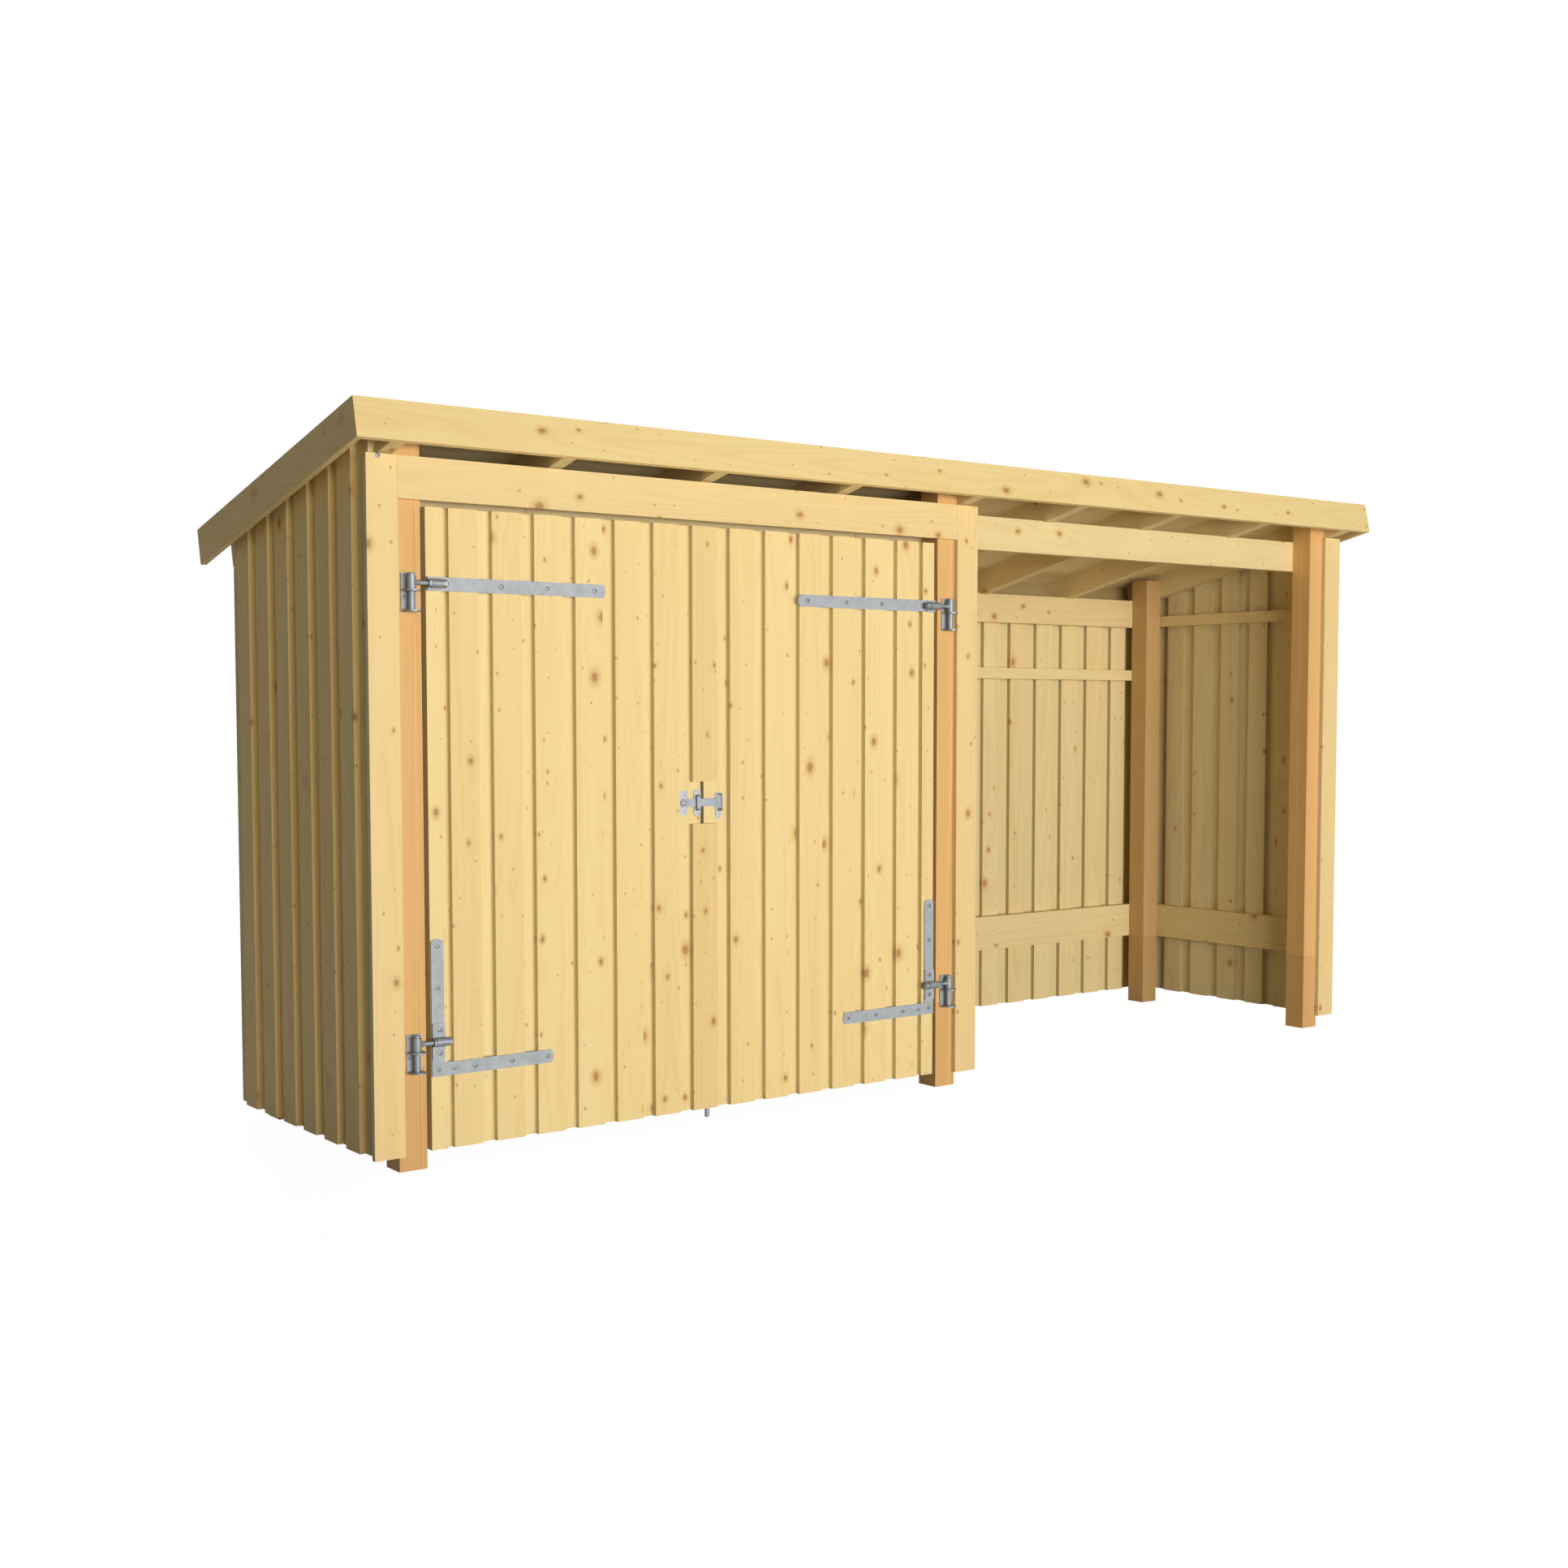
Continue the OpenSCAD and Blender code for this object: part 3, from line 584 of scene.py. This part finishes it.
@dataclass(frozen=True)
class PlainFloor:
    """The pale floor, which shows as white but still takes the shadow.

    Attributes:
        name: Name of the material.
        tone: Colour in which it throws light back.
        glow: Strength of the white that the camera sees.
        clear: How much that white covers the shadow.
    """

    name: str = "studio_floor"
    tone: Triple = (0.35, 0.33, 0.255)
    glow: float = 1.225
    clear: float = 0.8

    def build(self) -> bpy.types.Material:
        """Makes the material."""
        desk = NodeDesk(self.name)
        cloth = desk.add("ShaderNodeBsdfDiffuse", {}, {"Color": (*self.tone, 1.0)})
        white = {"Color": (1.0, 1.0, 1.0, 1.0), "Strength": self.glow}
        shine = desk.add("ShaderNodeEmission", {}, white)
        path = desk.add("ShaderNodeLightPath", {}, {}, "Is Camera Ray")
        seen = path.maths("MAXIMUM", path.out("Is Glossy Ray")) * self.clear
        mixed = desk.add("ShaderNodeMixShader", {}, {0: seen, 1: cloth, 2: shine})
        desk.tree.links.new(mixed.socket, desk.output.inputs["Surface"])
        return desk.material


class Modeller:
    """Small helpers for modelling with Blender's own tools."""

    @staticmethod
    def clear() -> None:
        """Deselects every object."""
        if bpy.context.object and bpy.context.object.mode != "OBJECT":
            bpy.ops.object.mode_set(mode="OBJECT")
        bpy.ops.object.select_all(action="DESELECT")

    @staticmethod
    def pick(piece: bpy.types.Object, test: Callable[[bmesh.types.BMFace], bool]) -> None:
        """Selects the faces of a piece in edit mode.

        Args:
            piece: The piece being edited.
            test: Says whether a face is wanted.
        """
        bpy.ops.mesh.select_mode(type="FACE")
        mesh = bmesh.from_edit_mesh(piece.data)
        for face in mesh.faces:
            face.select_set(bool(test(face)))
        mesh.select_flush_mode()
        bmesh.update_edit_mesh(piece.data)

    @staticmethod
    def settle(piece: bpy.types.Object) -> None:
        """Puts the piece's place, turn and size into its mesh."""
        Modeller.clear()
        piece.select_set(True)
        bpy.context.view_layer.objects.active = piece
        bpy.ops.object.transform_apply(location=True, rotation=True, scale=True)

    @staticmethod
    def join(pieces: Iterable[bpy.types.Object], name: str) -> bpy.types.Object:
        """Joins pieces into one.

        Args:
            pieces: The pieces to join.
            name: The name of the result.

        Returns:
            The joined piece.
        """
        pieces = list(pieces)
        Modeller.clear()
        for piece in pieces:
            piece.select_set(True)
        bpy.context.view_layer.objects.active = pieces[0]
        if len(pieces) > 1:
            bpy.ops.object.join()
        pieces[0].name = name
        pieces[0].data.name = name
        return pieces[0]


@dataclass
class Fixings:
    """The screws of the straps and plates.

    Attributes:
        head: Radius of a screw head.
        rise: How far it stands proud.
        rim: Width of its sloping rim against that radius.
        dome: Height of that rim against the rise.
        land: Width of the flat ring inside the rim against the radius.
        wall: Width of the socket's sloping wall against the radius.
        socket: Depth of the socket against the rise.
        seat: How far a screw sinks into the plate, in metres.
    """

    head: float = 0.0055
    rise: float = 0.0024
    rim: float = 0.22
    dome: float = 0.35
    land: float = 0.34
    wall: float = 0.04
    socket: float = 0.8
    seat: float = 0.0001

    def screw(self) -> bpy.types.Object:
        """Models one pan-head screw that faces the front, with its socket.

        Returns:
            The screw, at the origin.
        """
        Modeller.clear()
        bpy.ops.mesh.primitive_cylinder_add(
            vertices=20, radius=self.head, depth=self.rise, rotation=(math.pi / 2, 0, 0)
        )
        piece = bpy.context.object
        Modeller.settle(piece)
        bpy.ops.object.mode_set(mode="EDIT")
        Modeller.pick(piece, lambda face: face.normal.y < -0.9)
        for width, depth in ((self.rim, self.dome), (self.land, 0.0), (self.wall, -self.socket)):
            bpy.ops.mesh.inset(thickness=self.head * width, depth=self.rise * depth)
        bpy.ops.object.mode_set(mode="OBJECT")
        bpy.ops.object.shade_smooth_by_angle(angle=math.radians(40))
        return piece

    def row(
        self, name: str, body: str, spots: list[Triple], scale: float, finish: bpy.types.Material
    ) -> None:
        """Sets a row of screws on a plate.

        Args:
            name: Name of the row.
            body: The body that carries the plate.
            spots: Middle of each screw's seat, in the shed's own millimetres.
            scale: Size of the screws against the usual one.
            finish: Their finish.
        """
        first = self.screw()
        copies = []
        for x, y, z in spots:
            copy = first.copy()
            copy.data = first.data.copy()
            bpy.context.collection.objects.link(copy)
            copy.scale = (scale, 1.0, scale)
            copy.location = at(x, y, z) - Vector((0.0, self.rise / 2 - self.seat, 0.0))
            Modeller.settle(copy)
            copies.append(copy)
        bpy.data.objects.remove(first)
        piece = Modeller.join(copies, name)
        piece.data.materials.clear()
        piece.data.materials.append(finish)
        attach(piece, body)
        LOG.info("%s: %d screws on %s", name, len(spots), body)


@dataclass
class StrapHinges:
    """The screws on the four strap hinges, in the shed's own millimetres.

    Attributes:
        middle: Middle of the doorway, about which the right-hand leaf mirrors the left.
        face: Front of a strap.
        saddle: How far a saddle stands in front of its strap.
        upper: Across and up of each screw of the upper strap.
        lower: The same for the angled lower strap.
        saddles: The same for the lower strap's saddle.
        bracket: Across of the screws on the post.
        studs: Heights of the two studs.
        beside: Heights of the screws above and below a stud.
        corner: The screw at the top of the left corner board.
    """

    middle: float = 1102.5
    face: float = -5.0
    saddle: float = 5.0
    upper: tuple[Pair, ...] = ((355.0, 1738.0), (513.6, 1738.0), (682.0, 1738.0))
    lower: tuple[Pair, ...] = (
        (128.0, 665.0), (128.0, 541.0), (128.0, 295.0), (180.0, 294.0), (251.0, 294.0),
        (377.0, 294.0), (503.0, 294.0),
    )
    saddles: tuple[Pair, ...] = ((131.0, 416.0), (131.0, 345.0))
    bracket: float = 33.0
    studs: Pair = (380.0, 1738.0)
    beside: Pair = (21.0, -41.0)
    corner: Triple = (-50.0, -19.0, 2096.0)

    def dress(self, fixings: Fixings, finish: bpy.types.Material) -> None:
        """Sets the screws of both leaves, of the brackets and of the corner board."""
        post = tuple((self.bracket, stud + gap) for stud in self.studs for gap in self.beside)
        for side, leaf in ((1, "left_leaf"), (-1, "right_leaf")):
            for name, body, face, spots, scale in (
                (f"{leaf}_strap_screws", leaf, self.face, self.upper + self.lower, 1.25),
                (f"{leaf}_saddle_screws", leaf, self.face - self.saddle, self.saddles, 1.45),
                (f"{leaf[:-5]}_bracket_screws", "frame", self.face, post, 0.8),
            ):
                places = [(self.middle + side * (x - self.middle), face, z) for x, z in spots]
                fixings.row(name, body, places, scale, finish)
        fixings.row("corner_board_screw", "frame", [self.corner], 1.3, finish)


@dataclass
class Dressing:
    """Gives every carried-over piece its finish.

    Attributes:
        nodes: The pieces by name.
    """

    nodes: dict[str, bpy.types.Object]

    def coat(self, names: Iterable[str], finish: bpy.types.Material) -> None:
        """Puts one finish on the named pieces."""
        for name in names:
            piece = self.nodes[name]
            if not piece.material_slots:
                piece.data.materials.append(finish)
            for slot in piece.material_slots:
                slot.material = finish
            LOG.info("%s: %s", name, finish.name)

    def posts(self) -> None:
        """Dresses the six posts, the rear ones in darker colours that are painted shade."""
        bay, depth = 2.115, 0.914
        # Painted shade: the rear posts take darker colours for the shade at the back of the bay
        for end, pale, warm in (
            ("front", (0.79, 0.49, 0.205), (0.62, 0.335, 0.11)),
            ("rear", (0.585, 0.385, 0.175), (0.455, 0.262, 0.095)),
        ):
            # The foot at 0.306 m darkens each post below it and paints a shadow line along it
            finish = Timber(
                f"{end}_post_timber", Run.UPRIGHT, pale=pale, warm=warm,
                cell=(bay, depth, WIDE), start=(-3.2, -0.97, FAR),
                knots=0.0, rings=420.0, contrast=0.62, patches=0.5, drawn=0.008, foot=0.306,
            ).build()
            self.coat([f"{end}_{side}_post" for side in ("left", "middle", "right")], finish)

    def side_walls(self) -> None:
        """Dresses the boards of the side walls and of the partition."""
        first = at(0, 11 - 30.65, 0).y
        # Painted shade and painted light: the right wall's inner boards take a greyer, darker
        # copy of the timber's colours with painted shade on their front and back edges, and the
        # outer boards' faces turned into the shed take painted light, a paler colour
        right = {
            "inner": {
                "painted_side_light_and_shade": (1, 0.6), "edge": (0.42, 0.33, 0.17),
                "pale": (0.76, 0.65, 0.395), "warm": (0.70, 0.56, 0.305),
            },
            "outer": {"painted_side_light_and_shade": (0, 0.7), "one_way": True, "edge": (0.84, 0.74, 0.50)},
        }
        # Painted shade: the inner boards of the left wall and of the partition take the darker
        # shaded copy of the timber's colours
        left = {"inner": PAINTED_SHADE_TONES, "outer": {}}
        for layer, shift in (("inner", 0.0), ("outer", 0.07965)):
            for name, looks, walls in (
                ("side", left[layer], ("left_wall", "partition")),
                ("right", right[layer], ("right_wall",)),
            ):
                finish = Timber(
                    f"{name}_{layer}_boards", Run.UPRIGHT, cell=(2.1, SIDE_PITCH, WIDE),
                    start=(-3.1, first + shift, FAR), nails=0.15, **looks,
                ).build()
                self.coat([f"{wall}_{layer}_boards" for wall in walls], finish)

    def rear_wall(self) -> None:
        """Dresses the boards of the rear wall."""
        # Painted shade: the rear wall's inner boards take the darker shaded copy of the timber's
        # colours with painted shade, a dark colour, on their left and right edges, and the outer
        # boards' faces turned to the front, into the shed, take painted shade, a duller and
        # darker colour
        inner = {"painted_side_light_and_shade": (0, 0.5), "edge": (0.30, 0.25, 0.17), **PAINTED_SHADE_TONES}
        outer = {"painted_side_light_and_shade": (1, 0.9), "one_way": True, "edge": (0.70, 0.60, 0.33)}
        for layer, first, looks in (("inner", 0.0, inner), ("outer", -REAR_PITCH / 2, outer)):
            finish = Timber(
                f"rear_{layer}_boards", Run.UPRIGHT, cell=(REAR_PITCH, WIDE, WIDE),
                start=(first, FAR, FAR), nails=0.15, **looks,
            ).build()
            self.coat([f"rear_wall_{layer}_boards"], finish)

    def leaves(self) -> None:
        """Dresses the door leaves and the boards round the doorway."""
        inner = {"pale": (0.85, 0.69, 0.362), "warm": (0.78, 0.595, 0.282)}
        middle = StrapHinges.middle
        for leaf, side in (("left", 1), ("right", -1)):
            for layer, edge, looks in (("outer", 158.25, PAINTED_LIGHT_TONES), ("inner", 230.5, inner)):
                # Painted light and painted shade: the outer boards take the paler sunlit copy of
                # the timber's colours, and every board's left and right edges take painted shade,
                # the grey default colour
                finish = Timber(
                    f"{leaf}_leaf_{layer}", Run.UPRIGHT, cell=(LEAF_PITCH, WIDE, WIDE),
                    start=(at(middle + side * (edge - middle), 0, 0).x, FAR, FAR),
                    nails=0.16, painted_side_light_and_shade=(0, 0.4), **looks,
                ).build()
                self.coat([f"{leaf}_leaf_{layer}_boards"], finish)
        # Painted shade: the left and right edges of the cover and corner boards take the grey
        # default colour
        trim = Timber(
            "upright_trim", Run.UPRIGHT, cell=(1.0, WIDE, WIDE), start=(-3.0, FAR, FAR),
            nails=0.2, painted_side_light_and_shade=(0, 0.4),
        ).build()
        corners = [f"{side}_corner_board" for side in ("left", "middle", "right")]
        self.coat(["cover_board", *corners], trim)
        ledges = Timber(
            "ledge_timber", Run.LENGTHWAYS, cell=(1.1, WIDE, 0.36), start=(-HALF_WIDTH, FAR, 0.1)
        ).build()
        self.coat(["left_leaf_ledges", "right_leaf_ledges"], ledges)

    def framing(self) -> None:
        """Dresses beams, rails and rafters."""
        header = Timber(
            "header_timber", Run.LENGTHWAYS, pale=(0.80, 0.625, 0.32), warm=(0.735, 0.535, 0.243)
        ).build()
        self.coat(["door_header"], header)
        # Painted shade: beams, rails and rafters take the darker shaded copy of the timber's
        # colours
        sparse = {"knots": 0.4, **PAINTED_SHADE_TONES}
        long = Timber(
            "long_framing", Run.LENGTHWAYS, cell=(WIDE, 0.3, 0.55), start=(FAR, -1.0, 0.1),
            **sparse,
        ).build()
        self.coat(["front_beam", "rear_beam", "rear_wall_rails"], long)
        deep = Timber(
            "side_framing", Run.FRONT_TO_BACK, cell=(2.1, WIDE, 0.7), start=(-3.2, FAR, 0.1),
            **sparse,
        ).build()
        self.coat(["left_wall_rails", "partition_rails", "right_wall_rails"], deep)
        rafters = Timber(
            "rafter_timber", Run.FRONT_TO_BACK, cell=(0.28, WIDE, WIDE), start=(-3.2, FAR, FAR),
            **sparse,
        ).build()
        self.coat(["left_bay_rafters", "right_bay_rafters"], rafters)

    def roof(self) -> None:
        """Dresses the deck and the boards round its edge."""
        length, rows, pitch, front = 1250.0, 13, 12.7, -92 + 16.5
        row = length / rows * math.cos(math.radians(pitch)) / 1000
        deck = Timber(
            "deck_boards", Run.LENGTHWAYS, cell=(WIDE, row, WIDE),
            start=(FAR, at(0, front, 0).y, FAR), knots=0.4,
            pale=(0.835, 0.69, 0.395), warm=(0.775, 0.60, 0.31),
        ).build()
        self.coat(["roof_deck"], deck)
        # Painted light: the front fascia takes the paler sunlit copy of the timber's colours
        upper = Timber(
            "long_edge_boards", Run.LENGTHWAYS, cell=(WIDE, 0.8, WIDE), start=(FAR, -0.7, FAR),
            knots=0.55, **PAINTED_LIGHT_TONES,
        ).build()
        self.coat(["front_fascia"], upper)
        # Painted shade: the rear fascia's face turned to the front, seen from inside, is painted
        # dark brown
        lower = Timber(
            "rear_edge_board", Run.LENGTHWAYS, knots=0.55, painted_side_light_and_shade=(1, 0.88), one_way=True,
            edge=(0.27, 0.20, 0.09),
        ).build()
        self.coat(["rear_fascia"], lower)
        barge = Timber(
            "barge_boards", Run.FRONT_TO_BACK, cell=(3.0, WIDE, WIDE), start=(-3.0, FAR, FAR),
            knots=0.45, pale=(0.79, 0.60, 0.288), warm=(0.72, 0.51, 0.22),
        ).build()
        self.coat(["left_barge_board", "right_barge_board"], barge)

    def fittings(self) -> bpy.types.Material:
        """Dresses the steel pieces.

        Returns:
            The finish of the small screws.
        """
        # Painted reflection: the hinge pieces standing in front of the straps are painted darker
        zinc = Zinc("galvanised_steel", proud=at(0, -11, 0).y).build()
        words = ("bracket", "hinge", "latch", "bolt")
        names = [name for name in self.nodes if any(word in name for word in words)]
        self.coat(names, zinc)
        latch = Zinc(
            "latch_steel", pale=(0.47, 0.51, 0.575), dark=(0.36, 0.395, 0.45), metal=0.35
        ).build()
        self.coat([name for name in names if "latch" in name], latch)
        return Zinc(
            "screw_steel", pale=(0.22, 0.235, 0.26), dark=(0.12, 0.13, 0.15), metal=0.4
        ).build()

    def dress(self) -> bpy.types.Material:
        """Dresses every piece in turn.

        Returns:
            The finish of the small screws.
        """
        self.posts()
        self.side_walls()
        self.rear_wall()
        self.leaves()
        self.framing()
        self.roof()
        return self.fittings()


@dataclass
class Viewpoint:
    """The photograph's place and angle.

    Attributes:
        sensor: Width of the film in millimetres.
        lens: Focal length in millimetres.
        shift: How far the picture is shifted upwards against its width.
        reach: Distance up to which it sees, in metres.
        stand: Where the camera stands.
        turn: How it is turned, in radians.
    """

    sensor: float = 36.0
    lens: float = 43.17477
    shift: float = 0.027286
    reach: float = 200.0
    stand: Triple = (-4.567845, -5.580951, 1.356305)
    turn: Triple = (1.510632, 0.000467, -0.647740)

    def build(self) -> None:
        """Sets the camera up and makes it the scene's."""
        data = bpy.data.cameras.new("view")
        data.sensor_width = self.sensor
        data.lens = self.lens
        data.shift_y = self.shift
        data.clip_end = self.reach
        camera = bpy.data.objects.new("view", data)
        camera.location = self.stand
        camera.rotation_euler = self.turn
        bpy.context.collection.objects.link(camera)
        bpy.context.scene.camera = camera


@dataclass
class Studio:
    """The floor and the light.

    Attributes:
        power: Power of the broad light in front, in watts.
        breadth: Its width and height.
        stand: Where it stands.
        side: Strength of the softer light from the left of it.
        back: Strength of the light that the rear side gets.
        spread: Angle over which those two come, in degrees.
        fill: Strength of the light from all round.
        tint: Colour of that light.
        ground: Width of the floor.
        drop: How far it lies below the posts.
    """

    power: float = 678.0
    breadth: Pair = (7.4, 2.2)
    stand: Triple = (-0.4, -9.5, 1.35)
    side: float = 0.65
    back: float = 2.2
    spread: float = 20.0
    fill: float = 0.012
    tint: Triple = (1.0, 0.90, 0.62)
    ground: float = 80.0
    drop: float = 0.0005

    def floor(self) -> None:
        """Lays a wide floor just under the posts."""
        Modeller.clear()
        bpy.ops.mesh.primitive_plane_add(size=self.ground, location=(0.0, 0.0, -self.drop))
        plane = bpy.context.object
        plane.name = "studio_floor"
        plane.data.materials.append(PlainFloor().build())
        Modeller.settle(plane)

    def world(self) -> None:
        """Lights the scene evenly and shows white behind it."""
        world = bpy.data.worlds.new("studio_world")
        bpy.context.scene.world = world
        world.use_nodes = True
        tree = world.node_tree
        tree.nodes.clear()
        out = tree.nodes.new("ShaderNodeOutputWorld")
        dim = tree.nodes.new("ShaderNodeBackground")
        white = tree.nodes.new("ShaderNodeBackground")
        mix = tree.nodes.new("ShaderNodeMixShader")
        path = tree.nodes.new("ShaderNodeLightPath")
        either = tree.nodes.new("ShaderNodeMath")
        either.operation = "MAXIMUM"
        dim.inputs["Color"].default_value = (*self.tint, 1.0)
        dim.inputs["Strength"].default_value = self.fill
        white.inputs["Strength"].default_value = 1.0
        white.inputs["Color"].default_value = (1.0, 1.0, 1.0, 1.0)
        tree.links.new(path.outputs["Is Camera Ray"], either.inputs[0])
        tree.links.new(path.outputs["Is Glossy Ray"], either.inputs[1])
        tree.links.new(either.outputs[0], mix.inputs[0])
        tree.links.new(dim.outputs[0], mix.inputs[1])
        tree.links.new(white.outputs[0], mix.inputs[2])
        tree.links.new(mix.outputs[0], out.inputs["Surface"])

    def lamps(self) -> None:
        """Puts a broad low light in front, a softer one to its left and one behind the shed."""
        light = bpy.data.lights.new("front_light", "AREA")
        light.shape = "RECTANGLE"
        light.size, light.size_y = self.breadth
        light.energy = self.power
        light.color = (1.0, 0.955, 0.895)
        lamp = bpy.data.objects.new("front_light", light)
        lamp.location = self.stand
        lamp.rotation_euler = (math.pi / 2, 0.0, 0.0)
        lamp.visible_camera = False
        bpy.context.collection.objects.link(lamp)
        for name, energy, warmth, heading in (
            ("side_light", self.side, (1.0, 0.94, 0.68), (0.33, 0.94, -0.1)),
            ("back_light", self.back, (1.0, 1.0, 1.0), (-0.35, -0.75, -0.55)),
        ):
            light = bpy.data.lights.new(name, "SUN")
            light.energy = energy
            light.color = warmth
            light.angle = math.radians(self.spread)
            lamp = bpy.data.objects.new(name, light)
            lamp.rotation_euler = Vector(heading).to_track_quat("-Z", "Y").to_euler()
            bpy.context.collection.objects.link(lamp)

    def build(self) -> None:
        """Sets up the whole studio."""
        bpy.context.scene.view_settings.view_transform = "Standard"
        self.floor()
        self.world()
        self.lamps()


def corners(bounds: Any) -> list[list[float]]:
    """Turns a box's corners into plain lists of numbers."""
    return [[float(value) for value in corner] for corner in bounds]


def main() -> None:
    """Builds the dressed shed."""
    logging.basicConfig(level=logging.INFO)
    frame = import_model()
    Studio().build()
    Viewpoint().build()
    screws = Dressing(frame["nodes"]).dress()
    StrapHinges().dress(Fixings(), screws)


if __name__ == "__main__":
    main()
